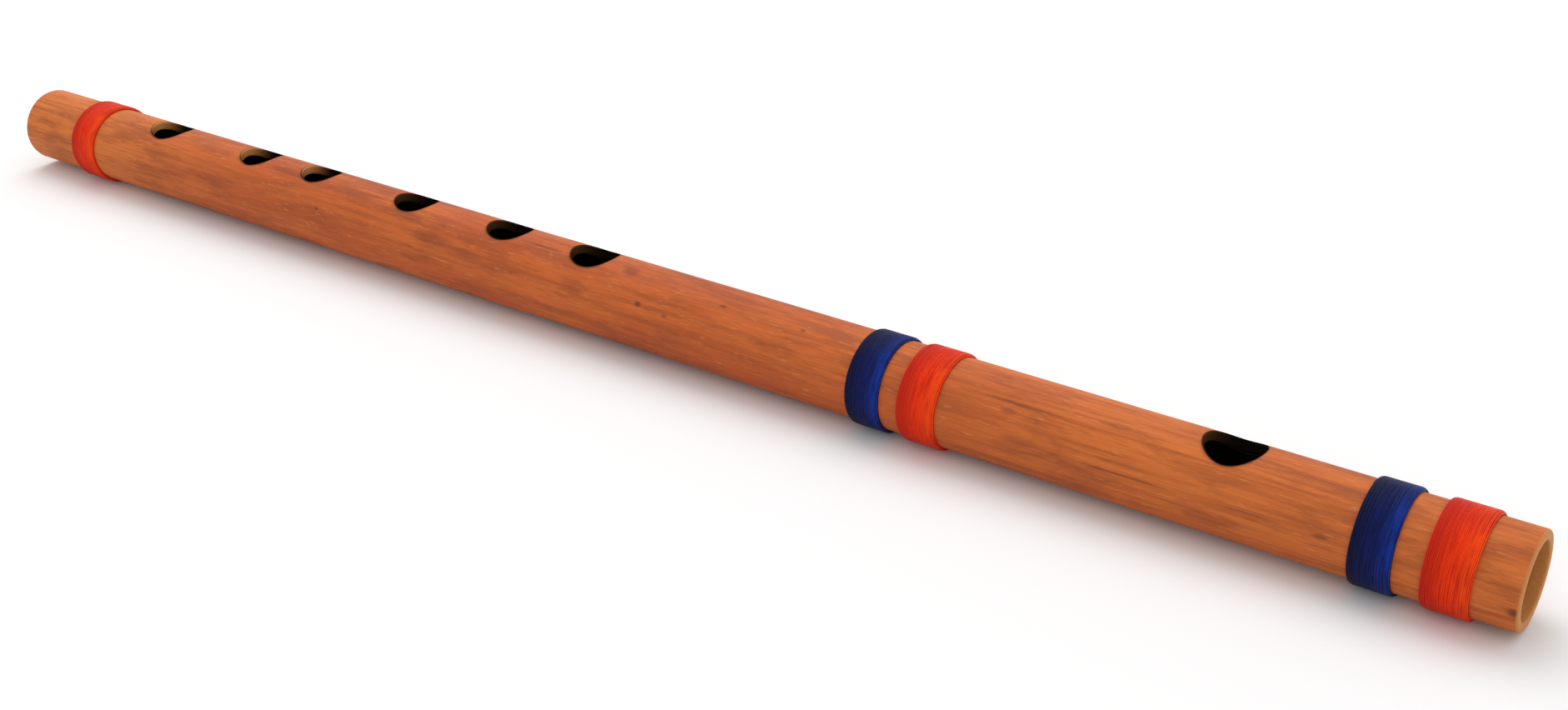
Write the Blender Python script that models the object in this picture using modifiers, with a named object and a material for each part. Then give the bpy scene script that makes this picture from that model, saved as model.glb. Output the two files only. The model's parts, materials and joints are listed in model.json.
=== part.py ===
# Side-blown bamboo flute (bansuri) with five thread bindings and a cork stopper.
# Metres, +Z up. The flute lies along X with its holes up and its head towards +X.
# The origin is on the surface that it lies on, under the middle of its length.

import math

import bmesh
import bpy
from mathutils import Matrix, Vector

# Bamboo tube
tube_diameter = 0.0229
tube_wall = 0.0024
end_rounding = 0.0006
bore_rounding = 0.0004

# Hole layout, one step after another from the foot end to the head end
foot_to_hole_1 = 0.0616
finger_hole_steps = (0.0410, 0.0264, 0.0393, 0.0362, 0.0309)
hole_6_to_blow_hole = 0.1862
blow_hole_to_head = 0.0684

# Ovals, each a length along the tube and a width across it
finger_hole_ovals = (
    (0.0132, 0.0118),
    (0.0123, 0.0115),
    (0.0118, 0.0106),
    (0.0126, 0.0110),
    (0.0130, 0.0110),
    (0.0132, 0.0118),
)
blow_hole_oval = (0.0140, 0.0134)

# Cork stopper, held in the bore by friction between the blow hole and the head
stopper_setback = 0.0180
stopper_length = 0.0200
stopper_rounding = 0.0010
stopper_clearance = 0.0003

# Thread bindings: a sleeve of inner layers with one outer layer of loops round it
thread_diameter = 0.0006
thread_loops = 6
inner_layers = 0.00025
layer_clearance = 0.0001
sleeve_rounding = 0.0002
blue_width = 0.0100
orange_width = 0.0110

# Middle of each binding, measured from the end or from the blow hole
foot_orange_from_foot = 0.0298
middle_blue_from_blow_hole = 0.0920
middle_orange_from_blow_hole = 0.0766
head_blue_from_head = 0.0317
head_orange_from_head = 0.0153

# Fineness of the round shapes
tube_sides = 48
oval_sides = 32
rounding_steps = 2
points_per_loop = 24

# What follows from the sizes above
tube_radius = tube_diameter / 2
bore_radius = tube_radius - tube_wall
hole_6_place = foot_to_hole_1 + sum(finger_hole_steps)
blow_hole_place = hole_6_place + hole_6_to_blow_hole
tube_length = blow_hole_place + blow_hole_to_head
stopper_place = blow_hole_place + stopper_setback
sleeve_bore = tube_radius + layer_clearance
sleeve_radius = sleeve_bore + inner_layers
loop_radius = sleeve_radius + layer_clearance + thread_diameter / 2
rest_flat_depth = thread_diameter / 10
axis_height = loop_radius + thread_diameter / 2 - rest_flat_depth

BAMBOO = (0.55, 0.20, 0.07)
CORK = (0.45, 0.26, 0.13)
ORANGE = (0.80, 0.05, 0.01)
BLUE = (0.018, 0.022, 0.16)

# Each binding: its name, colour, width and the place of its middle from the foot end
BINDINGS = (
    ("foot_orange", ORANGE, orange_width, foot_orange_from_foot),
    ("middle_blue", BLUE, blue_width, blow_hole_place - middle_blue_from_blow_hole),
    ("middle_orange", ORANGE, orange_width, blow_hole_place - middle_orange_from_blow_hole),
    ("head_blue", BLUE, blue_width, tube_length - head_blue_from_head),
    ("head_orange", ORANGE, orange_width, tube_length - head_orange_from_head),
)


def clear_scene():
    for old in list(bpy.data.objects):
        bpy.data.objects.remove(old)


def new_collection(name):
    collection = bpy.data.collections.new(name)
    bpy.context.scene.collection.children.link(collection)
    return collection


def new_material(name, colour, roughness):
    material = bpy.data.materials.new(name)
    material.use_nodes = True
    shader = material.node_tree.nodes["Principled BSDF"]
    shader.inputs["Base Color"].default_value = (*colour, 1)
    shader.inputs["Roughness"].default_value = roughness
    shader.inputs["Metallic"].default_value = 0
    return material


def add_flute_axis(collection):
    """An empty at the foot end: its own +Z runs to the head and its own +X points down."""
    axis = bpy.data.objects.new("flute_axis", None)
    axis.location = (-tube_length / 2, 0, axis_height)
    axis.rotation_euler = (0, math.pi / 2, 0)
    collection.objects.link(axis)
    return axis


def place(name, data, collection, axis, along=0.0):
    """Adds a mesh or a curve on the tube's axis, at a distance from the foot end."""
    piece = bpy.data.objects.new(name, data)
    piece.parent = axis
    piece.location = (0, 0, along)
    collection.objects.link(piece)
    return piece


def quarter(radius, height, size, start):
    """A quarter circle in an outline, clockwise about (radius, height) from an angle in degrees."""
    turns = [math.radians(start - 90 * step / rounding_steps) for step in range(rounding_steps + 1)]
    return [(radius + size * math.cos(turn), height + size * math.sin(turn)) for turn in turns]


def turned(name, outline, hollow, collection, axis, along=0.0):
    """A turned piece, from an outline of (radius, height) points that runs down its outer side."""
    corners = [(radius, 0, height) for radius, height in outline]
    edges = [(i, i + 1) for i in range(len(corners) - 1)]
    if hollow:
        edges.append((len(corners) - 1, 0))
    mesh = bpy.data.meshes.new(name)
    mesh.from_pydata(corners, edges, [])
    piece = place(name, mesh, collection, axis, along)
    screw = piece.modifiers.new("turn", "SCREW")
    screw.axis = "Z"
    screw.angle = math.tau
    screw.steps = tube_sides
    screw.render_steps = tube_sides
    screw.use_merge_vertices = not hollow
    screw.merge_threshold = 0.00005
    return piece


def cut(piece, cutter):
    boolean = piece.modifiers.new(cutter.name, "BOOLEAN")
    boolean.operation = "DIFFERENCE"
    boolean.solver = "EXACT"
    boolean.object = cutter


def evaluated_mesh(piece):
    bpy.context.view_layer.update()
    return bpy.data.meshes.new_from_object(piece.evaluated_get(bpy.context.evaluated_depsgraph_get()))


def finish(piece, material):
    """Makes the modelled shape the piece's own mesh, smooth but for its true edges."""
    mesh = evaluated_mesh(piece)
    piece.modifiers.clear()
    piece.data = mesh
    mesh.materials.clear()
    mesh.materials.append(material)
    mesh.shade_smooth()
    mesh.set_sharp_from_angle(angle=math.radians(30))


def add_cutter(name, build, collection, axis, along=0.0):
    mesh = bpy.data.meshes.new(name)
    build.to_mesh(mesh)
    build.free()
    cutter = place(name, mesh, collection, axis, along)
    cutter.hide_render = True
    cutter.display_type = "WIRE"
    return cutter


def oval_cutter(name, oval, collection, axis, along):
    """An oval prism that stands on the tube's axis and comes out through the top of its wall."""
    length, width = oval
    reach = tube_diameter
    stand_up = Matrix.Translation((-reach / 2, 0, 0)) @ Matrix.Rotation(-math.pi / 2, 4, "Y")
    build = bmesh.new()
    bmesh.ops.create_cone(
        build,
        cap_ends=True,
        segments=oval_sides,
        radius1=1,
        radius2=1,
        depth=reach,
        matrix=stand_up @ Matrix.Diagonal((length / 2, width / 2, 1, 1)),
    )
    return add_cutter(name, build, collection, axis, along)


def rest_cutter(collection, axis):
    """A slab under the whole flute, whose top is the surface that the flute lies on."""
    depth = thread_diameter * 4
    middle = Matrix.Translation((axis_height + depth / 2, 0, tube_length / 2))
    build = bmesh.new()
    bmesh.ops.create_cube(
        build,
        size=1,
        matrix=middle @ Matrix.Diagonal((depth, tube_diameter * 2, tube_length * 1.1, 1)),
    )
    return add_cutter("rest_cutter", build, collection, axis)


def bamboo_tube(collection, cutters, axis, material):
    inner_corner = bore_radius + bore_rounding
    outer_corner = tube_radius - end_rounding
    outline = quarter(outer_corner, tube_length - end_rounding, end_rounding, 90)
    outline += quarter(outer_corner, end_rounding, end_rounding, 0)
    outline += quarter(inner_corner, bore_rounding, bore_rounding, -90)
    outline += quarter(inner_corner, tube_length - bore_rounding, bore_rounding, 180)
    tube = turned("bamboo_tube", outline, True, collection, axis)
    along = foot_to_hole_1
    for number, oval in enumerate(finger_hole_ovals, start=1):
        cut(tube, oval_cutter(f"finger_hole_{number}_cutter", oval, cutters, axis, along))
        along += sum(finger_hole_steps[number - 1 : number])
    cut(tube, oval_cutter("blow_hole_cutter", blow_hole_oval, cutters, axis, blow_hole_place))
    finish(tube, material)


def cork_stopper(collection, axis, material):
    """A plain cork cylinder with eased ends. Its origin is on the axis, at its inner face."""
    radius = bore_radius - stopper_clearance
    corner = radius - stopper_rounding
    outline = [(0, stopper_length)]
    outline += quarter(corner, stopper_length - stopper_rounding, stopper_rounding, 90)
    outline += quarter(corner, stopper_rounding, stopper_rounding, 0)
    outline += [(0, 0)]
    stopper = turned("cork_stopper", outline, False, collection, axis, stopper_place)
    finish(stopper, material)


def sleeve(name, width, collection, axis, along, material):
    """The inner layers of a binding as one ring with soft shoulders."""
    corner = sleeve_radius - sleeve_rounding
    outline = quarter(corner, width / 2 - sleeve_rounding, sleeve_rounding, 90)
    outline += quarter(corner, sleeve_rounding - width / 2, sleeve_rounding, 0)
    outline += [(sleeve_bore, -width / 2), (sleeve_bore, width / 2)]
    ring = turned(f"{name}_inner_layers", outline, True, collection, axis, along)
    finish(ring, material)


def loop_points(width):
    """Points down the middle of a thread that winds from one edge of a binding to the other.

    The straight runs between points clear the sleeve, and one of each loop lies level below.
    """
    corner_radius = loop_radius / math.cos(math.pi / points_per_loop)
    travel = width - thread_diameter
    steps = thread_loops * points_per_loop
    points = []
    for step in range(steps + 1):
        turn = math.tau * (step + 0.5) / points_per_loop
        along = travel * (step / steps - 0.5)
        points.append(Vector((corner_radius * math.cos(turn), corner_radius * math.sin(turn), along)))
    return points


def least_gap(points):
    """The least free space between two stretches of a thread half a loop or more apart."""
    apart = points_per_loop // 2
    nearest = min(
        (here - there).length
        for i, here in enumerate(points)
        for there in points[i + apart :]
    )
    return nearest - thread_diameter


def wound_thread(name, width, collection, cutter, axis, along, material):
    """The outer layer of a binding: one unbroken thread, flattened a little where it rests.

    Its first and last runs are straight for more than a thread's diameter.
    """
    points = loop_points(width)
    curve = bpy.data.curves.new(name, "CURVE")
    curve.dimensions = "3D"
    curve.bevel_depth = thread_diameter / 2
    curve.bevel_resolution = 1
    curve.use_fill_caps = True
    spline = curve.splines.new("POLY")
    spline.points.add(len(points) - 1)
    for knot, point in zip(spline.points, points):
        knot.co = (*point, 1)
    guide = place(f"{name}_guide", curve, collection, axis)
    mesh = evaluated_mesh(guide)
    bpy.data.objects.remove(guide)
    build = bmesh.new()
    build.from_mesh(mesh)
    bmesh.ops.remove_doubles(build, verts=build.verts, dist=0.000001)
    build.to_mesh(mesh)
    build.free()
    thread = place(f"{name}_thread", mesh, collection, axis, along)
    cut(thread, cutter)
    finish(thread, material)
    print(f"{thread.name}: least gap to itself {least_gap(points) * 1000:.2f} mm")


def main():
    clear_scene()
    parts = new_collection("bansuri")
    cutters = new_collection("cutters")
    axis = add_flute_axis(parts)
    bamboo_tube(parts, cutters, axis, new_material("bamboo", BAMBOO, 0.45))
    cork_stopper(parts, axis, new_material("cork", CORK, 0.85))
    table = rest_cutter(cutters, axis)
    for name, colour, width, along in BINDINGS:
        thread = new_material(f"{name}_silk", colour, 0.5)
        sleeve(name, width, parts, axis, along, thread)
        wound_thread(name, width, parts, table, axis, along, thread)
    print(f"tube {tube_length * 1000:.1f} mm long, bore {bore_radius * 2000:.1f} mm wide")


main()
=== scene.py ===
"""Looks of a bamboo bansuri: a bored tube with burned-in holes, five silk bindings and a cork stopper."""

import json
import math

import bmesh
import bpy
from mathutils import Matrix, Vector, noise

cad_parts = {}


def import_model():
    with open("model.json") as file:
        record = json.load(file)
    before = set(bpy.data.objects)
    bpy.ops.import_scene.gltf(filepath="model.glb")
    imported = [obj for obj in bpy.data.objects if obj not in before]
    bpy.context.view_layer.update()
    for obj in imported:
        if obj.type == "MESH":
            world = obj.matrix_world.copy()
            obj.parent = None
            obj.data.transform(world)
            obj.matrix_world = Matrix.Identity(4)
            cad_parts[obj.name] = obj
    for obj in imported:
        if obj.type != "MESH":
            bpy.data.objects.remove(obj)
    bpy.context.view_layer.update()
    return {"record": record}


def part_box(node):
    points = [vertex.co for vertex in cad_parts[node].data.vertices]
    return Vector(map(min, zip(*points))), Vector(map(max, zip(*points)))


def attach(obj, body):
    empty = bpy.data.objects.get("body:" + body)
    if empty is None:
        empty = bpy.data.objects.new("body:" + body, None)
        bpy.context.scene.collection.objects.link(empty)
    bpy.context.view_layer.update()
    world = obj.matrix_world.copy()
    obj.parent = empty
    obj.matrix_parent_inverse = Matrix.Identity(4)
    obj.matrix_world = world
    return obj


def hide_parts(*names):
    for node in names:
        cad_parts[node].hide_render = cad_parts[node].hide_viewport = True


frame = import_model()

# Real sizes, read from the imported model
tube_low, tube_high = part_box("bamboo_tube")
foot_x = tube_low.x
head_x = tube_high.x
tube_radius = (tube_high.z - tube_low.z) / 2
axis_height = (tube_high.z + tube_low.z) / 2
stopper_low, stopper_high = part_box("cork_stopper")
stopper_radius = (stopper_high.z - stopper_low.z) / 2
openings = {opening["name"]: opening["box_m"] for opening in frame["record"]["physics"]["openings"]}

# Bamboo, in metres
stopper_room = 0.0003
bore_radius = stopper_radius + stopper_room
wall = tube_radius - bore_radius
end_rounding = 0.0006
bore_rounding = 0.0004
hole_rounding = 0.0004
hole_inner_rounding = 0.0003
hole_unevenness = 0.00012
tube_swell = 0.00012
tube_relief = 0.00006
tube_relief_length = 0.030
bore_relief = 0.00010
bore_relief_length = 0.012
saw_marks = 0.00005

# The box that the record states for a hole spans this share of the hole's oval
opening_share = 0.68

# Paler ends of the cane, as distances from the foot
pale_foot_full = 0.020
pale_foot_none = 0.110
pale_head_none = 0.290
pale_head_full = 0.420

# Hole rims darkened by burning, and hole walls darkened partly by burning and partly by painted shade,
# with a bare patch on the foot side
rim_burn = 0.95
rim_burn_reach = 0.0002
wall_burn_and_shade = 0.995
bare_wall_near_foot = 1.0
bare_wall_further_up = 0.10
bare_wall_holes_reach = 0.15

# Painted shade in the bore, as distances in from a mouth
bore_shade_start = 0.006
bore_shade_full = 0.028

# Grid of the tube: points round it, the step along it, and the window of the grid at each hole
around = 128
station_step = 0.0022
window_reach = 0.0095
window_steps = 12
window_turns = 22

# Silk bindings
thread_diameter = 0.00036
thread_pitch = 0.00034
thread_shoulder = 0.0009
thread_stray = 0.00006
stray_per_turn = 2.7
ply_length = 0.0012
steps_per_turn = 72
thread_sides = 8
underlay_inset = 0.60 * thread_diameter
underlay_drop = 0.75 * thread_diameter
underlay_sunk = 0.0002
underlay_sides = 96
first_seed = 11.0
seed_step = 7

# Cork stopper
cork_ease = 0.0010
cork_sides = 96
cork_pit_size = 0.0013
cork_pit_onset = 0.25
cork_pit_depth = 0.0005

# Light
fill_light = 0.80
key_place = (-0.7, 0.7, 1.9)
key_size = 2.0
key_power = 17
floor_reach = 4.0

# Camera, fitted to the outline of the tube and its holes in the photograph
sensor_width = 36
lens = 45.46
camera_past_head = 0.0711
camera_from_axis = 0.4394
camera_above = math.radians(30.59)
camera_yaw = -0.5382
camera_pitch = -0.0029
camera_roll = 0.3002

# Stains on the bamboo: place from the foot, degrees from the top, half length, half width, strength
STAINS = {
    "smudge_below_hole_2": (0.118, -22, 0.0090, 0.0015, 0.45),
    "smudge_below_hole_4": (0.170, -35, 0.0100, 0.0020, 0.45),
    "low_smudge_past_hole_4": (0.183, -58, 0.0090, 0.0025, 0.40),
    "low_smudge_before_hole_5": (0.195, -66, 0.0080, 0.0020, 0.35),
    "streak_before_hole_6": (0.221, -20, 0.0080, 0.0005, 0.70),
    "low_smudge_below_hole_6": (0.236, -60, 0.0060, 0.0020, 0.35),
    "grey_spot_past_hole_6": (0.251, -18, 0.0032, 0.0022, 0.60),
    "dark_speck_past_hole_6": (0.258, -60, 0.0013, 0.0009, 0.90),
    "low_speck_past_hole_2": (0.137, -66, 0.0009, 0.0006, 0.80),
    "low_speck_in_the_middle": (0.267, -65, 0.0011, 0.0006, 0.70),
    "speck_in_the_middle": (0.283, -29, 0.0013, 0.0007, 0.80),
    "speck_before_middle_blue": (0.308, -29, 0.0009, 0.0006, 0.70),
    "spot_past_middle_orange": (0.369, -51, 0.0026, 0.0010, 0.50),
    "long_streak_before_blow_hole": (0.371, -40, 0.0170, 0.0004, 0.55),
    "low_streak_before_blow_hole": (0.400, -84, 0.0120, 0.0004, 0.55),
    "low_streak_past_blow_hole": (0.431, -82, 0.0090, 0.0004, 0.50),
    "low_speck_before_head_blue": (0.447, -83, 0.0022, 0.0007, 0.60),
    # A dark spot at the lower edge of the head end's rim
    "dark_spot_at_head_rim": (0.489, -101, 0.0018, 0.0014, 1.00),
}
BINDINGS = ("foot_orange", "middle_blue", "middle_orange", "head_blue", "head_orange")


def linear(red, green, blue):
    """A colour as it is seen on a screen, 0 to 255, as the linear values that shaders take."""
    return tuple(
        (value / 255 / 12.92) if value <= 10 else ((value / 255 + 0.055) / 1.055) ** 2.4
        for value in (red, green, blue)
    )


class Recipe:
    """A material or a node tree that is put together node by node."""

    def __init__(self, tree):
        self.tree = tree

    def add(self, kind, inputs=None, **settings):
        node = self.tree.nodes.new(kind)
        for key, value in settings.items():
            setattr(node, key, value)
        for key, value in (inputs or {}).items():
            socket = node.inputs[key]
            if isinstance(value, bpy.types.NodeSocket):
                self.tree.links.new(value, socket)
            else:
                socket.default_value = value
        return node

    def math(self, operation, first, second=0.0, clamp=False):
        inputs = {0: first, 1: second}
        return self.add("ShaderNodeMath", inputs, operation=operation, use_clamp=clamp).outputs[0]

    def ramp(self, value, low, high, to_low=0.0, to_high=1.0):
        """Maps low to high smoothly onto another range."""
        inputs = {"Value": value, "From Min": low, "From Max": high, "To Min": to_low, "To Max": to_high}
        return self.add("ShaderNodeMapRange", inputs, interpolation_type="SMOOTHSTEP").outputs[0]

    def attribute(self, name):
        """A value that the mesh holds at its points."""
        return self.add("ShaderNodeAttribute", attribute_name=name).outputs["Fac"]

    def seen_directly(self):
        """1 for what is seen straight, in a reflection or through glass, and 0 for what gives light."""
        path = self.add("ShaderNodeLightPath").outputs
        seen = self.math("MAXIMUM", path["Is Camera Ray"], path["Is Glossy Ray"])
        return self.math("MAXIMUM", seen, path["Is Transmission Ray"])

    def bump(self, shader, strength, distance, height):
        """Lets a height change the shader's normal."""
        inputs = {"Strength": strength, "Distance": distance, "Height": height}
        self.tree.links.new(self.add("ShaderNodeBump", inputs).outputs[0], shader.inputs["Normal"])

    def mix(self, share, first, second):
        """Mixes two colours, each a socket or three values."""
        node = self.add("ShaderNodeMix", data_type="RGBA", clamp_factor=True)
        # The node has sockets for other kinds of value too: 6 and 7 are its two colours
        for socket, value in zip((node.inputs[0], node.inputs[6], node.inputs[7]), (share, first, second)):
            if isinstance(value, bpy.types.NodeSocket):
                self.tree.links.new(value, socket)
            elif isinstance(value, tuple):
                socket.default_value = (*value, 1)
            else:
                socket.default_value = value
        return node.outputs[2]

    def mottle(self, place, sizes, detail=3.0, roughness=0.5, shift=0.0):
        """Noise whose marks have these sizes along X, Y and Z, in metres."""
        scale = tuple(1 / size for size in sizes)
        mapping = {"Vector": place, "Scale": scale, "Location": (shift, shift, shift)}
        scaled = self.add("ShaderNodeMapping", mapping).outputs[0]
        inputs = {"Vector": scaled, "Scale": 1.0, "Detail": detail, "Roughness": roughness}
        return self.add("ShaderNodeTexNoise", inputs).outputs["Fac"]


def new_finish(name):
    """An empty material, its recipe and its Principled shader."""
    material = bpy.data.materials.new(name)
    material.use_nodes = True
    shader = material.node_tree.nodes["Principled BSDF"]
    return material, Recipe(material.node_tree), shader


def bamboo_marks(recipe, place):
    """Strength of the stains, streaks and specks at their places along and round the tube."""
    ragged = recipe.mottle(place, (0.0040, 0.0006, 0.0006), 4.0, 0.7, 21.3)
    total = None
    for along, turn, half_length, half_width, strength in STAINS.values():
        centre = on_tube(foot_x + along, math.radians(turn), tube_radius)
        scale = Vector((1 / half_length, 1 / half_width, 1 / half_width))
        inputs = {"Vector": place, "Scale": scale, "Location": -centre * scale}
        near = recipe.add("ShaderNodeMapping", inputs).outputs[0]
        away = recipe.add("ShaderNodeVectorMath", {0: near}, operation="LENGTH").outputs["Value"]
        away = recipe.math("ADD", away, ragged)
        mark = recipe.ramp(away, 0.8, 1.7, strength, 0.0)
        total = mark if total is None else recipe.math("MAXIMUM", total, mark)
    return total


def bamboo_skin(recipe, place, grain, dash):
    """Colour of the tube's outside: paler ends, lengthwise bands and grain, flecks and stains."""
    broad = recipe.mottle(place, (0.060, 0.012, 0.012))
    cloud = recipe.mottle(place, (0.022, 0.0045, 0.0045), 5.0, 0.6, 3.1)
    band = recipe.mottle(place, (0.045, 0.0014, 0.0014), 4.0, 0.6, 7.9)
    fleck = recipe.mottle(place, (0.0040, 0.00050, 0.00050), 1.0, 0.5, 14.6)
    along = recipe.add("ShaderNodeSeparateXYZ", {"Vector": place}).outputs[0]
    pale_foot = recipe.ramp(along, foot_x + pale_foot_full, foot_x + pale_foot_none, 1.0, 0.0)
    pale_head = recipe.ramp(along, foot_x + pale_head_none, foot_x + pale_head_full, 0.0, 0.55)
    pale = recipe.math("MAXIMUM", pale_foot, pale_head)
    colour = recipe.mix(recipe.ramp(broad, 0.35, 0.65), linear(212, 108, 50), linear(196, 92, 44))
    colour = recipe.mix(pale, colour, linear(222, 124, 56))
    colour = recipe.mix(recipe.ramp(band, 0.42, 0.70, 0, 0.60), colour, linear(162, 80, 40))
    colour = recipe.mix(recipe.ramp(cloud, 0.45, 0.68, 0, 0.60), colour, linear(148, 74, 42))
    colour = recipe.mix(recipe.ramp(grain, 0.40, 0.70, 0, 0.26), colour, linear(154, 76, 42))
    colour = recipe.mix(recipe.ramp(dash, 0.56, 0.72, 0, 0.26), colour, linear(124, 62, 40))
    colour = recipe.mix(recipe.ramp(fleck, 0.64, 0.74, 0, 0.35), colour, linear(222, 146, 92))
    stained = recipe.math("MULTIPLY", bamboo_marks(recipe, place), 0.75)
    return recipe.mix(stained, colour, linear(78, 44, 34))


def bamboo_finish():
    """Bamboo: its skin outside, bare fibres where it is cut, painted shade deeper in the bore, and hole
    rims and walls darkened by burning, the walls also by painted shade.
    """
    material, recipe, shader = new_finish("bamboo")
    link = recipe.tree.links.new
    place = recipe.add("ShaderNodeTexCoord").outputs["Object"]
    grain = recipe.mottle(place, (0.014, 0.00045, 0.00045), 3.0, 0.6, 5.7)
    dash = recipe.mottle(place, (0.0055, 0.00055, 0.00055), 2.0, 0.5, 9.2)
    fibre = recipe.mottle(place, (0.0010, 0.00045, 0.00045), 2.0, 0.6, 2.4)
    rim = recipe.attribute("rim")
    bore = recipe.attribute("bore")
    bare_wood = recipe.mix(fibre, linear(196, 120, 60), linear(220, 156, 90))
    colour = recipe.mix(recipe.attribute("cut"), bamboo_skin(recipe, place, grain, dash), bare_wood)
    # Painted shade, darker deeper in the bore
    colour = recipe.mix(bore, colour, linear(26, 20, 17))
    # Hole rims darkened by burning, and hole walls darkened by burning and by painted shade
    colour = recipe.mix(rim, colour, linear(20, 15, 13))
    link(colour, shader.inputs["Base Color"])

    # Less glossy where burning, the painted shade of the hole walls, or the painted shade of the bore
    # darkens it
    burn_and_shade = recipe.math("MAXIMUM", rim, bore)
    link(recipe.ramp(burn_and_shade, 0.0, 1.0, 0.18, 0.0), shader.inputs["Specular IOR Level"])
    link(recipe.ramp(grain, 0.3, 0.7, 0.52, 0.66), shader.inputs["Roughness"])
    height = recipe.math("ADD", recipe.math("MULTIPLY", grain, 0.6), recipe.math("MULTIPLY", dash, 0.4))
    recipe.bump(shader, 0.25, 0.0001, height)
    return material


def silk_finish(name, colour, shade_and_worn_tone, highlight_tone, sheen):
    """Close-wound silk: two-ply thread, with painted shade to the foot side, on the lower half, near the
    top and in the ply grooves, a painted highlight towards the head, and darker worn patches.
    """
    material, recipe, shader = new_finish(name)
    link = recipe.tree.links.new
    place = recipe.add("ShaderNodeTexCoord").outputs["Object"]
    along = recipe.math("MULTIPLY", recipe.attribute("along"), 1 / ply_length)
    two_plies = recipe.math("MULTIPLY", recipe.attribute("round"), 2.0)
    twist = recipe.math("ADD", along, two_plies)
    ply = recipe.math("SINE", recipe.math("MULTIPLY", twist, math.tau))
    worn = recipe.mottle(place, (0.0012, 0.006, 0.006), 3.0, 0.6)
    height = recipe.add("ShaderNodeSeparateXYZ", {"Vector": place}).outputs[2]
    across = recipe.attribute("across")
    # Painted shade on the foot side of the binding
    tone = recipe.mix(recipe.ramp(across, 0.05, 0.60), shade_and_worn_tone, colour)
    # Painted highlight towards the head side of the binding
    tone = recipe.mix(recipe.ramp(across, 0.55, 0.95, 0.0, 0.8), tone, highlight_tone)
    tone = recipe.mix(recipe.ramp(worn, 0.42, 0.70, 0.0, 0.7), tone, shade_and_worn_tone)
    # Painted shade on the lower half
    tone = recipe.mix(recipe.ramp(height, 0.0, axis_height, 0.55, 0.0), tone, shade_and_worn_tone)
    # Painted shade near the top
    top = 2 * axis_height
    tone = recipe.mix(recipe.ramp(height, 0.9 * top, top, 0.0, 0.45), tone, shade_and_worn_tone)
    # A little painted shade in the grooves between the plies
    tone = recipe.mix(recipe.ramp(ply, -1.0, 1.0, 0.0, 0.08), tone, shade_and_worn_tone)
    link(tone, shader.inputs["Base Color"])
    shader.inputs["Roughness"].default_value = 0.48
    shader.inputs["Specular IOR Level"].default_value = 0.12
    shader.inputs["Sheen Weight"].default_value = sheen
    shader.inputs["Sheen Roughness"].default_value = 0.4
    shader.inputs["Sheen Tint"].default_value = (*colour, 1)
    recipe.bump(shader, 0.15, 0.00003, ply)
    return material


def cork_finish():
    """Cork: mottled cells with dark pores."""
    material, recipe, shader = new_finish("cork")
    link = recipe.tree.links.new
    place = recipe.add("ShaderNodeTexCoord").outputs["Object"]
    cells = recipe.mottle(place, (0.0016, 0.0016, 0.0016), 4.0, 0.65)
    pores = recipe.mottle(place, (0.0009, 0.0022, 0.0012), 2.0, 0.5, 6.3)
    colour = recipe.mix(recipe.ramp(cells, 0.3, 0.7), linear(196, 150, 104), linear(158, 112, 72))
    colour = recipe.mix(recipe.ramp(pores, 0.60, 0.70, 0, 0.9), colour, linear(74, 46, 30))
    link(colour, shader.inputs["Base Color"])
    shader.inputs["Roughness"].default_value = 0.85
    recipe.bump(shader, 0.6, 0.0002, cells)
    return material


def on_tube(x, turn, radius):
    """A point at a turn from the top of the tube, positive towards +Y."""
    return Vector((x, radius * math.sin(turn), axis_height + radius * math.cos(turn)))


def outer_radius_at(x, turn):
    """The outside's radius, with the slight swell towards the middle and the cane's unevenness."""
    share = (x - foot_x) / (head_x - foot_x)
    swell = tube_swell * math.sin(math.pi * share)
    spot = Vector((x / tube_relief_length, 1.3 * math.sin(turn), 1.3 * math.cos(turn)))
    return tube_radius + swell + tube_relief * noise.noise(spot)


def bore_radius_at(x, turn):
    """The bore's radius, with the unevenness that boring leaves."""
    spot = Vector((x / bore_relief_length + 40, 2 * math.sin(turn), 2 * math.cos(turn)))
    return bore_radius + bore_relief * noise.noise(spot)


class Hole:
    """An oval hole through the top of the wall, with the part of the grid that it opens in."""

    def __init__(self, name):
        low, high = openings[name]
        self.x = (low[0] + high[0]) / 2
        self.half_length = (high[0] - low[0]) / 2 / opening_share
        self.half_width = (high[1] - low[1]) / 2 / opening_share
        near_foot = low[0] < foot_x + bare_wall_holes_reach
        self.bare = bare_wall_near_foot if near_foot else bare_wall_further_up
        self.first = self.last = 0

    def oval(self, angle, grown):
        """X and Y on the oval, grown by a distance, with the small unevenness of a hand-made hole."""
        spot = Vector((self.x * 900, 1.5 * math.cos(angle), 1.5 * math.sin(angle)))
        reach = grown + hole_unevenness * noise.noise(spot)
        return (
            self.x + (self.half_length + reach) * math.cos(angle),
            (self.half_width + reach) * math.sin(angle),
        )

    def under_outside(self, angle, grown, drop):
        """A point of the hole's wall, a drop below the outside."""
        x, y = self.oval(angle, grown)
        outside = outer_radius_at(x, math.asin(y / tube_radius))
        return Vector((x, y, axis_height + math.sqrt(outside**2 - y**2) - drop))

    def over_bore(self, angle, grown, rise):
        """A point of the hole's wall, a rise above the bore."""
        x, y = self.oval(angle, grown)
        return Vector((x, y, axis_height + math.sqrt(bore_radius**2 - y**2) + rise))


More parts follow.
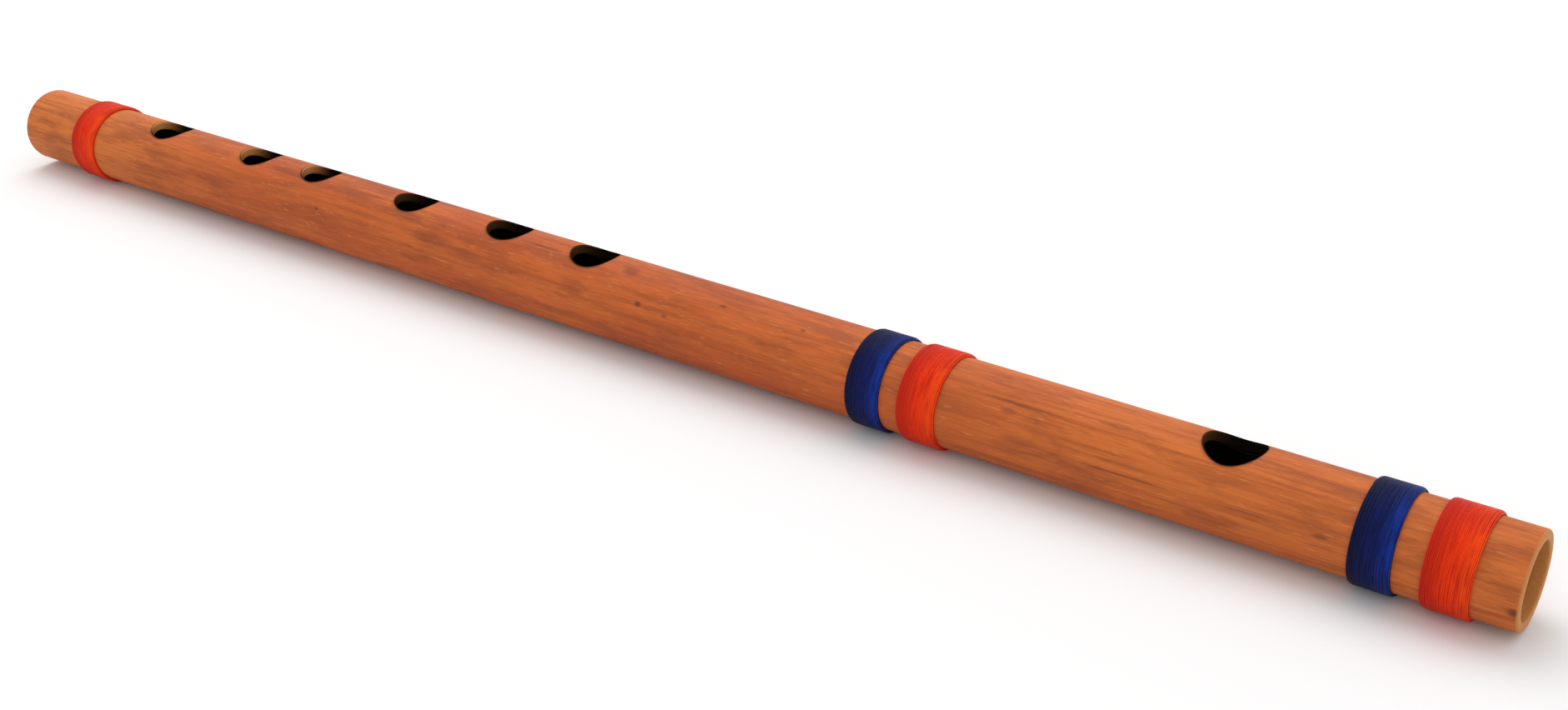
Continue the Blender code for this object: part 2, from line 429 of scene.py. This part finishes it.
class TubeSkin:
    """The whole surface of the bored tube as one closed mesh of quads."""

    def __init__(self, holes):
        self.holes = holes
        self.points = []
        self.faces = []
        self.marks = {"cut": [], "rim": [], "bore": []}
        self.stations = self.spread_stations()

    def spread_stations(self):
        """Places along the tube, evenly spread between the windows and across each window."""
        stations = [foot_x + end_rounding]
        for hole in self.holes:
            self.run_to(stations, hole.x - window_reach)
            hole.first = len(stations) - 1
            for step in range(1, window_steps + 1):
                stations.append(hole.x - window_reach + 2 * window_reach * step / window_steps)
            hole.last = len(stations) - 1
        self.run_to(stations, head_x - end_rounding)
        return stations

    def run_to(self, stations, goal):
        """Adds evenly spread places, up to a goal."""
        start = stations[-1]
        steps = math.ceil((goal - start) / station_step)
        stations.extend(start + (goal - start) * step / steps for step in range(1, steps + 1))

    def point(self, place, cut=0.0, rim=0.0, bore=0.0):
        """Adds a point with its marks for the material, and gives its number."""
        self.points.append(place)
        self.marks["cut"].append(cut)
        self.marks["rim"].append(rim)
        self.marks["bore"].append(bore)
        return len(self.points) - 1

    def outer_point(self, x, turn, rim=0.0):
        return self.point(on_tube(x, turn, outer_radius_at(x, turn)), rim=rim)

    def bore_point(self, x, turn):
        depth = min(x - foot_x, head_x - x)
        return self.point(on_tube(x, turn, bore_radius_at(x, turn)), cut=1.0, bore=bore_shade_share(depth))

    def in_window(self, station, turn):
        """Whether a grid point lies inside a hole's window, off its border."""
        for hole in self.holes:
            if hole.first < station < hole.last and abs(turn) < window_turns:
                return True
        return False

    def window_cell(self, station, turn):
        """Whether the grid's cell after a point lies in a hole's window."""
        for hole in self.holes:
            if hole.first <= station < hole.last and -window_turns <= turn < window_turns:
                return True
        return False

    def grid(self, inner):
        """The tube's outside or its bore, without the windows at the holes."""
        rows = []
        add_point = self.bore_point if inner else self.outer_point
        for number, x in enumerate(self.stations):
            row = {}
            for turn in range(-around // 2, around // 2):
                if not self.in_window(number, turn):
                    row[turn] = add_point(x, math.tau * turn / around)
            rows.append(row)
        for number, (here, there) in enumerate(zip(rows, rows[1:])):
            for turn in range(-around // 2, around // 2):
                if self.window_cell(number, turn):
                    continue
                after = turn + 1 if turn + 1 < around // 2 else -around // 2
                corners = [here[turn], there[turn], there[after], here[after]]
                self.faces.append(corners[::-1] if inner else corners)
        return rows

    def join(self, rings):
        """Faces between each ring and the next."""
        for ring, following in zip(rings, rings[1:]):
            for step in range(len(ring)):
                after = (step + 1) % len(ring)
                self.faces.append([ring[step], ring[after], following[after], following[step]])

    def border(self, hole):
        """Grid places round a hole's window, in order."""
        first, last, side = hole.first, hole.last, window_turns
        places = [(station, -side) for station in range(first, last)]
        places += [(last, turn) for turn in range(-side, side)]
        places += [(station, side) for station in range(last, first, -1)]
        places += [(first, turn) for turn in range(side, -side, -1)]
        return places

    def window_angle(self, hole, station, turn):
        """Which way a place on the window's border lies from the middle of its hole."""
        return math.atan2(turn / window_turns, (self.stations[station] - hole.x) / window_reach)

    def surface_ring(self, hole, share, inside):
        """A ring on the outside or the bore, a share of the way from the window's border to the hole."""
        ring = []
        grown = hole_inner_rounding if inside else hole_rounding
        radius = bore_radius if inside else tube_radius
        away = (1 - share) * window_reach / 2
        for station, turn in self.border(hole):
            edge_x, edge_y = hole.oval(self.window_angle(hole, station, turn), grown)
            x = self.stations[station] * (1 - share) + edge_x * share
            angle = math.tau * turn / around * (1 - share) + math.asin(edge_y / radius) * share
            if inside:
                ring.append(self.bore_point(x, angle))
            else:
                ring.append(self.outer_point(x, angle, rim_burn * math.exp(-away / rim_burn_reach)))
        return ring

    def wall_ring(self, hole, place, grown, distance, burn_and_shade):
        """A ring on the hole's wall, darkened by burning and by painted shade, but for its bare patch on
        the foot side.
        """
        ring = []
        for station, turn in self.border(hole):
            angle = self.window_angle(hole, station, turn)
            bare = hole.bare * max(-math.cos(angle), 0.0) ** 3
            ring.append(self.point(place(angle, grown, distance), cut=1.0, rim=burn_and_shade * (1 - bare)))
        return ring

    def open_hole(self, hole, outer, inner):
        """Rings from the window on the outside over the rim, down the wall and out over the bore."""
        rings = [[outer[station][turn] for station, turn in self.border(hole)]]
        for share in (0.25, 0.5, 0.7, 0.84, 0.93, 0.98, 1.0):
            rings.append(self.surface_ring(hole, share, inside=False))
        for bend in (22.5, 45, 67.5, 90):
            grown = hole_rounding * (1 - math.sin(math.radians(bend)))
            drop = hole_rounding * (1 - math.cos(math.radians(bend)))
            rings.append(self.wall_ring(hole, hole.under_outside, grown, drop, 1.0))
        for share in (0.3, 0.5, 0.75):
            rings.append(self.wall_ring(hole, hole.under_outside, 0, share * wall, wall_burn_and_shade))
        for bend in (0, 45, 90):
            grown = hole_inner_rounding * (1 - math.cos(math.radians(bend)))
            rise = hole_inner_rounding * (1 - math.sin(math.radians(bend)))
            rings.append(self.wall_ring(hole, hole.over_bore, grown, rise, wall_burn_and_shade))
        for share in (0.8, 0.55, 0.3):
            rings.append(self.surface_ring(hole, share, inside=True))
        rings.append([inner[station][turn] for station, turn in self.border(hole)])
        self.join(rings)

    def end_ring(self, end_x, way, radius, depth, cut):
        """A ring of the cut face, a depth in from the end, with the saw's marks."""
        ring = []
        for turn in range(-around // 2, around // 2):
            angle = math.tau * turn / around
            spot = Vector((radius * 3000, 9 * math.sin(angle), 9 * math.cos(angle)))
            sawn = saw_marks * abs(noise.noise(spot))
            ring.append(self.point(on_tube(end_x + way * (depth + sawn), angle, radius), cut=cut))
        return ring

    def close_end(self, outer_row, inner_row, end_x, way):
        """The cut face of one end, from the outer grid's last row to the bore's."""
        order = range(-around // 2, around // 2)
        rings = [[outer_row[turn] for turn in order]]
        for bend in (30, 60, 90):
            radius = tube_radius - end_rounding * (1 - math.cos(math.radians(bend)))
            depth = end_rounding * (1 - math.sin(math.radians(bend)))
            cut = 0.5 + 0.5 * math.sin(math.radians(bend))
            rings.append(self.end_ring(end_x, way, radius, depth, cut))
        outer_edge = tube_radius - end_rounding
        inner_edge = bore_radius + bore_rounding
        for share in (0.33, 0.67, 1.0):
            radius = outer_edge + (inner_edge - outer_edge) * share
            rings.append(self.end_ring(end_x, way, radius, 0.0, 1.0))
        for bend in (30, 60):
            radius = bore_radius + bore_rounding * (1 - math.sin(math.radians(bend)))
            depth = bore_rounding * (1 - math.cos(math.radians(bend)))
            rings.append(self.end_ring(end_x, way, radius, depth, 1.0))
        rings.append([inner_row[turn] for turn in order])
        self.join(rings if way > 0 else [ring[::-1] for ring in rings])

    def mesh(self):
        outer = self.grid(inner=False)
        inner = self.grid(inner=True)
        for hole in self.holes:
            self.open_hole(hole, outer, inner)
        self.close_end(outer[0], inner[0], foot_x, 1)
        self.close_end(outer[-1], inner[-1], head_x, -1)
        made = bpy.data.meshes.new("bamboo_body")
        made.from_pydata([tuple(place) for place in self.points], [], self.faces)
        for name, values in self.marks.items():
            made.attributes.new(name, "FLOAT", "POINT").data.foreach_set("value", values)
        made.shade_smooth()
        return made


def bore_shade_share(depth):
    """How much painted shade the bore gets, from none at a mouth to full further in."""
    share = min(max((depth - bore_shade_start) / (bore_shade_full - bore_shade_start), 0.0), 1.0)
    return share * share * (3 - 2 * share)


def keep(name, mesh, material, body, slot, *nodes):
    """Makes a finished mesh a piece that rides on a body and stands for CAD nodes."""
    piece = bpy.data.objects.new(name, mesh)
    bpy.context.scene.collection.objects.link(piece)
    mesh.materials.clear()
    mesh.materials.append(material)
    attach(piece, body)
    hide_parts(*nodes)


def bamboo_body(material):
    """The bored tube with its six finger holes and its blow hole."""
    names = [f"finger_hole_{number}" for number in range(1, 7)] + ["blow_hole"]
    skin = TubeSkin([Hole(name) for name in names])
    keep("bamboo_body", skin.mesh(), material, "flute", "bamboo", "bamboo_tube")


def winding_inputs(tree):
    """The tree's named inputs, and its one output."""
    for name in ("Width", "Tube Radius", "Height", "Thread", "Turns", "Shoulder", "Stray", "Seed"):
        tree.interface.new_socket(name, in_out="INPUT", socket_type="NodeSocketFloat")
    tree.interface.new_socket("Steps", in_out="INPUT", socket_type="NodeSocketInt")
    tree.interface.new_socket("Silk", in_out="INPUT", socket_type="NodeSocketMaterial")
    tree.interface.new_socket("Geometry", in_out="OUTPUT", socket_type="NodeSocketGeometry")


def winding_radius(recipe, given, share, travel):
    """The thread's distance from the axis, which climbs a round shoulder at each side of the binding."""
    half_thread = recipe.math("MULTIPLY", given["Thread"], 0.5)
    from_side = recipe.math("MINIMUM", share, recipe.math("SUBTRACT", 1.0, share))
    edge = recipe.math("MULTIPLY", from_side, travel)
    climb = recipe.math("DIVIDE", edge, given["Shoulder"], clamp=True)
    short = recipe.math("SUBTRACT", 1.0, climb)
    lift = recipe.math("SQRT", recipe.math("SUBTRACT", 1.0, recipe.math("MULTIPLY", short, short)))
    rise = recipe.math("MULTIPLY", lift, recipe.math("SUBTRACT", given["Height"], given["Thread"]))
    return recipe.math("ADD", recipe.math("ADD", given["Tube Radius"], half_thread), rise)


def winding_place(recipe, given, share):
    """Where the thread's middle lies, a share of the way through its turns."""
    turns = recipe.math("MULTIPLY", share, given["Turns"])
    angle = recipe.math("MULTIPLY", turns, math.tau)
    travel = recipe.math("SUBTRACT", given["Width"], given["Thread"])
    radius = winding_radius(recipe, given, share, travel)
    along = recipe.math("MULTIPLY", recipe.math("SUBTRACT", share, 0.5), travel)
    phase = recipe.math("ADD", recipe.math("MULTIPLY", turns, stray_per_turn), given["Seed"])
    noise_inputs = {"W": phase, "Scale": 1.0, "Detail": 1.0}
    wander = recipe.add("ShaderNodeTexNoise", noise_inputs, noise_dimensions="1D").outputs["Fac"]
    sway = recipe.math("SUBTRACT", wander, 0.5)
    # The noise stays within about a quarter of its middle, so this brings it to the whole stray
    stray = recipe.math("MULTIPLY", sway, recipe.math("MULTIPLY", given["Stray"], 4.0))
    place = {
        "X": recipe.math("ADD", along, stray),
        "Y": recipe.math("MULTIPLY", radius, recipe.math("SINE", angle)),
        "Z": recipe.math("MULTIPLY", radius, recipe.math("COSINE", angle)),
    }
    return recipe.add("ShaderNodeCombineXYZ", place).outputs[0]


def store(recipe, geometry, name, value):
    """Keeps a value on the points, for the material to read."""
    inputs = {"Geometry": geometry, "Name": name, "Value": value}
    kept = recipe.add("GeometryNodeStoreNamedAttribute", inputs, data_type="FLOAT", domain="POINT")
    return kept.outputs[0]


def winding_tree():
    """Geometry Nodes: one thread wound side by side across a binding, with rounded shoulders."""
    tree = bpy.data.node_groups.new("silk_winding", "GeometryNodeTree")
    winding_inputs(tree)
    recipe = Recipe(tree)
    given = recipe.add("NodeGroupInput").outputs

    turns = {
        "Resolution": given["Steps"],
        "Rotations": given["Turns"],
        "Start Radius": 1.0,
        "End Radius": 1.0,
        "Height": 0.0,
    }
    wound = recipe.add("GeometryNodeCurveSpiral", turns).outputs[0]
    share = recipe.add("GeometryNodeSplineParameter").outputs["Factor"]
    place = winding_place(recipe, given, share)
    wound = recipe.add("GeometryNodeSetPosition", {"Geometry": wound, "Position": place}).outputs[0]
    length = recipe.add("GeometryNodeSplineParameter").outputs["Length"]
    wound = store(recipe, wound, "along", length)
    wound = store(recipe, wound, "across", share)

    section = {"Resolution": thread_sides, "Radius": recipe.math("MULTIPLY", given["Thread"], 0.5)}
    circle = recipe.add("GeometryNodeCurvePrimitiveCircle", section).outputs[0]
    turned = recipe.add("GeometryNodeSplineParameter").outputs["Factor"]
    circle = store(recipe, circle, "round", turned)

    sweep = {"Curve": wound, "Profile Curve": circle, "Fill Caps": True}
    thread = recipe.add("GeometryNodeCurveToMesh", sweep).outputs[0]
    smooth = recipe.add("GeometryNodeSetShadeSmooth", {"Geometry": thread}).outputs[0]
    real = recipe.add("GeometryNodeRealizeInstances", {"Geometry": smooth}).outputs[0]
    finish = {"Geometry": real, "Material": given["Silk"]}
    silk = recipe.add("GeometryNodeSetMaterial", finish).outputs[0]
    recipe.add("NodeGroupOutput", {"Geometry": silk})
    return tree


def wound_mesh(name, tree, values):
    """The result of the winding tree, as a plain mesh about the origin."""
    holder = bpy.data.objects.new(name + "_holder", bpy.data.meshes.new(name + "_holder"))
    bpy.context.scene.collection.objects.link(holder)
    modifier = holder.modifiers.new("winding", "NODES")
    modifier.node_group = tree
    for item in tree.interface.items_tree:
        if item.in_out == "INPUT":
            modifier[item.identifier] = values[item.name]
    bpy.context.view_layer.update()
    wound = holder.evaluated_get(bpy.context.evaluated_depsgraph_get())
    mesh = bpy.data.meshes.new_from_object(wound)
    bpy.data.objects.remove(holder)
    return mesh


def finished_mesh(name, build):
    """A smooth mesh with its faces outwards, from a bmesh."""
    bmesh.ops.recalc_face_normals(build, faces=build.faces)
    mesh = bpy.data.meshes.new(name)
    build.to_mesh(mesh)
    build.free()
    mesh.shade_smooth()
    return mesh


def underlay_outline(width, height):
    """The ring's section, as radius and X: sunk into the tube at both sides, with round shoulders."""
    steps = 6
    low = tube_radius - underlay_sunk
    half = width / 2 - underlay_inset
    top = tube_radius + height - underlay_drop
    soft = min(thread_shoulder, top - tube_radius)
    shoulder = []
    for step in range(steps + 1):
        bend = math.pi / 2 * step / steps
        shoulder.append((top - soft * (1 - math.sin(bend)), half - soft * (1 - math.cos(bend))))
    other_side = [(radius, -x) for radius, x in shoulder[::-1]]
    return [(low, half)] + shoulder + other_side + [(low, -half)]


def underlay_mesh(name, width, height):
    """The inner layers of a binding: a ring with round shoulders that fills it under the outer threads."""
    outline = underlay_outline(width, height)
    build = bmesh.new()
    rings = []
    for side in range(underlay_sides):
        angle = math.tau * side / underlay_sides
        places = [(x, radius * math.sin(angle), radius * math.cos(angle)) for radius, x in outline]
        rings.append([build.verts.new(place) for place in places])
    for here, there in zip(rings, rings[1:] + rings[:1]):
        for step in range(len(outline)):
            after = (step + 1) % len(outline)
            build.faces.new((here[step], here[after], there[after], there[step]))
    return finished_mesh(name, build)


def binding(name, tree, silk, slot, seed):
    """One binding: its wound outer thread over its inner layers."""
    sleeve_low, sleeve_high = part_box(f"{name}_inner_layers")
    middle = (sleeve_low.x + sleeve_high.x) / 2
    width = sleeve_high.x - sleeve_low.x
    height = axis_height - tube_radius
    values = {
        "Width": width,
        "Tube Radius": tube_radius,
        "Height": height,
        "Thread": thread_diameter,
        "Turns": (width - thread_diameter) / thread_pitch,
        "Shoulder": thread_shoulder,
        "Stray": thread_stray,
        "Seed": seed,
        "Steps": steps_per_turn,
        "Silk": silk,
    }
    move = Matrix.Translation((middle, 0, axis_height))
    threads = wound_mesh(f"{name}_winding", tree, values)
    threads.transform(move)
    keep(f"{name}_winding", threads, silk, "flute", slot, f"{name}_thread")
    under = underlay_mesh(f"{name}_underlay", width, height)
    under.transform(move)
    keep(f"{name}_underlay", under, silk, "flute", slot, f"{name}_inner_layers")


def bindings():
    """The five bindings, orange and blue."""
    winding = winding_tree()
    # Each silk: its own colour, a darker tone for painted shade and worn patches, and a brighter tone for
    # a painted highlight
    orange = [linear(248, 62, 12), linear(205, 40, 16), linear(254, 84, 18)]
    blue = [linear(16, 30, 98), linear(10, 17, 58), linear(24, 60, 165)]
    orange_silk = silk_finish("orange_silk", *orange, sheen=0.03)
    blue_silk = silk_finish("blue_silk", *blue, sheen=0.03)
    for number, name in enumerate(BINDINGS):
        seed = first_seed + seed_step * number
        if name.endswith("orange"):
            binding(name, winding, orange_silk, "orange_thread", seed)
        else:
            binding(name, winding, blue_silk, "blue_thread", seed)


def cork_outline(length):
    """The stopper's section, as radius and X: one face, its eased edge, the side, and back to the axis."""
    face_steps = 16
    ease_steps = 5
    side_steps = 24
    flat = stopper_radius - cork_ease
    face = [(flat * step / face_steps, 0.0) for step in range(face_steps + 1)]
    for step in range(1, ease_steps + 1):
        bend = math.pi / 2 * step / ease_steps
        face.append((flat + cork_ease * math.sin(bend), cork_ease * (1 - math.cos(bend))))
    straight = length - 2 * cork_ease
    side = [(stopper_radius, cork_ease + straight * step / side_steps) for step in range(1, side_steps)]
    return face + side + [(radius, length - x) for radius, x in face[::-1]]


def cork_mesh(length):
    """The stopper turned about X, with shallow pits wherever the noise passes their onset."""
    build = bmesh.new()
    rings = []
    for radius, x in cork_outline(length):
        ring = []
        for side in range(cork_sides if radius > 0 else 1):
            angle = math.tau * side / cork_sides
            spot = Vector((x, radius * math.sin(angle), radius * math.cos(angle)))
            pit = max(noise.noise(spot / cork_pit_size) - cork_pit_onset, 0.0) * cork_pit_depth
            inward = Vector((length / 2 - x, -spot.y, -spot.z)).normalized()
            ring.append(build.verts.new(spot + inward * pit))
        rings.append(ring)
    for here, there in zip(rings, rings[1:]):
        for side in range(cork_sides):
            after = (side + 1) % cork_sides
            if len(here) == 1:
                build.faces.new((here[0], there[side], there[after]))
            elif len(there) == 1:
                build.faces.new((here[side], there[0], here[after]))
            else:
                build.faces.new((here[side], there[side], there[after], here[after]))
    return finished_mesh("cork_plug", build)


def cork_plug(material):
    """The cork stopper in the bore."""
    mesh = cork_mesh(stopper_high.x - stopper_low.x)
    mesh.transform(Matrix.Translation((stopper_low.x, 0, axis_height)))
    keep("cork_plug", mesh, material, "stopper", "cork", "cork_stopper")


def floor():
    """A pale floor: white to the camera and in reflections, greyer where it throws light back."""
    mesh = bpy.data.meshes.new("floor")
    ways = ((-1, -1), (1, -1), (1, 1), (-1, 1))
    corners = [(floor_reach * x, floor_reach * y, 0) for x, y in ways]
    mesh.from_pydata(corners, [], [(0, 1, 2, 3)])
    material, recipe, shader = new_finish("pale_floor")
    colour = recipe.mix(recipe.seen_directly(), (0.72, 0.72, 0.72), (0.97, 0.97, 0.97))
    recipe.tree.links.new(colour, shader.inputs["Base Color"])
    shader.inputs["Roughness"].default_value = 1.0
    shader.inputs["Specular IOR Level"].default_value = 0.0
    mesh.materials.append(material)
    stage = bpy.data.objects.new("floor", mesh)
    bpy.context.scene.collection.objects.link(stage)


def lamp(name, place, size, power):
    """A round soft lamp that points at the middle of the flute."""
    data = bpy.data.lights.new(name, "AREA")
    data.shape = "DISK"
    data.size = size
    data.energy = power
    light = bpy.data.objects.new(name, data)
    light.location = place
    light.rotation_euler = (-Vector(place)).to_track_quat("-Z", "Y").to_euler()
    bpy.context.scene.collection.objects.link(light)


def world(strength):
    """An even white studio: full white to the camera, and at a set strength as light."""
    scene = bpy.context.scene
    scene.world = bpy.data.worlds.new("studio")
    scene.world.use_nodes = True
    recipe = Recipe(scene.world.node_tree)
    background = recipe.tree.nodes["Background"]
    background.inputs["Color"].default_value = (1, 1, 1, 1)
    level = recipe.ramp(recipe.seen_directly(), 0.0, 1.0, strength, 1.0)
    recipe.tree.links.new(level, background.inputs["Strength"])


def camera():
    """The photograph's view: past the head end, above and in front, turned back along the tube."""
    data = bpy.data.cameras.new("photograph")
    data.lens = lens
    data.sensor_width = sensor_width
    data.clip_start = 0.01
    data.clip_end = 50
    ahead = Vector((
        math.sin(camera_yaw) * math.cos(camera_pitch),
        math.cos(camera_yaw) * math.cos(camera_pitch),
        math.sin(camera_pitch),
    ))
    side = Vector((math.cos(camera_yaw), -math.sin(camera_yaw), 0))
    up = side.cross(ahead)
    across = side * math.cos(camera_roll) + up * math.sin(camera_roll)
    upright = up * math.cos(camera_roll) - side * math.sin(camera_roll)
    lifted = Matrix.Rotation(-camera_above, 3, "X")
    turn = Matrix((lifted @ across, lifted @ upright, lifted @ -ahead)).transposed()
    from_middle = lifted @ Vector((head_x + camera_past_head, -camera_from_axis, 0))
    spot = from_middle + Vector((0, 0, axis_height))
    view = bpy.data.objects.new("photograph", data)
    view.matrix_world = Matrix.Translation(spot) @ turn.to_4x4()
    bpy.context.scene.collection.objects.link(view)
    bpy.context.scene.camera = view


bpy.context.scene.view_settings.view_transform = "Standard"
camera()
floor()
world(fill_light)
lamp("key", key_place, key_size, key_power)

bamboo_body(bamboo_finish())
bindings()
cork_plug(cork_finish())
